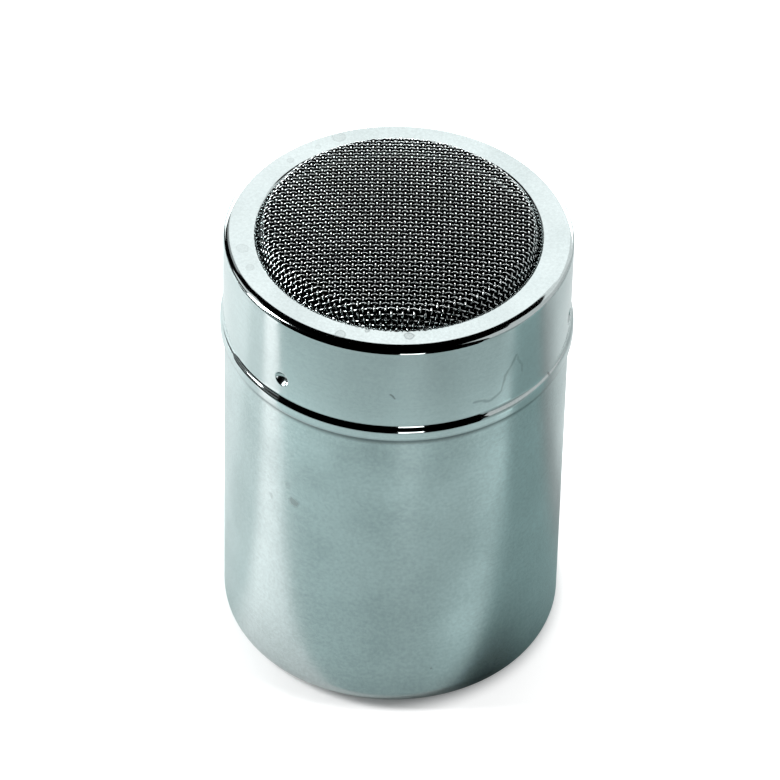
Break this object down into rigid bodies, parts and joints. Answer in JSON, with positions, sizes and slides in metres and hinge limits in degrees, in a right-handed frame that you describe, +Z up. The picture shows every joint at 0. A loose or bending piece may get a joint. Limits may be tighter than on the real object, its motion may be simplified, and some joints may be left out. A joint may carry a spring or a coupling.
{
  "type": "mesh-top spice shaker",
  "caption": "Cylindrical stainless shaker: a drawn canister with a bayonet neck and a pressed cap that holds a woven wire dome over a round opening; the cap turns and lifts off.",
  "frame": {"origin": "middle of the base, on the surface the shaker stands on", "axes": "+Z up along the axis of the canister; -Y towards the front, with one dimple of the cap at 230 degrees from +X"},
  "size_m": [0.07, 0.07, 0.1023],
  "materials": {
    "canister_steel": "satin drawn stainless sheet",
    "cap_steel": "polished stainless sheet",
    "ring_steel": "plain stainless sheet",
    "wire_steel": "drawn stainless wire"
  },
  "bodies": {
    "canister": {"canister": "canister_steel"},
    "clamp": {"clamping_ring": "ring_steel"},
    "cap": {"cap": "cap_steel", "warp_wires": "wire_steel", "weft_wires": "wire_steel"}
  },
  "joints": [
    {"name": "cap_lift", "type": "slide", "parent": "canister", "child": "clamp", "axis": [0, 0, 1], "range_m": [0, 0.04]},
    {"name": "cap_turn", "type": "hinge", "parent": "clamp", "child": "cap", "pos_m": [0, 0, 0.085], "axis": [0, 0, -1], "range_deg": [0, 28]}
  ]
}
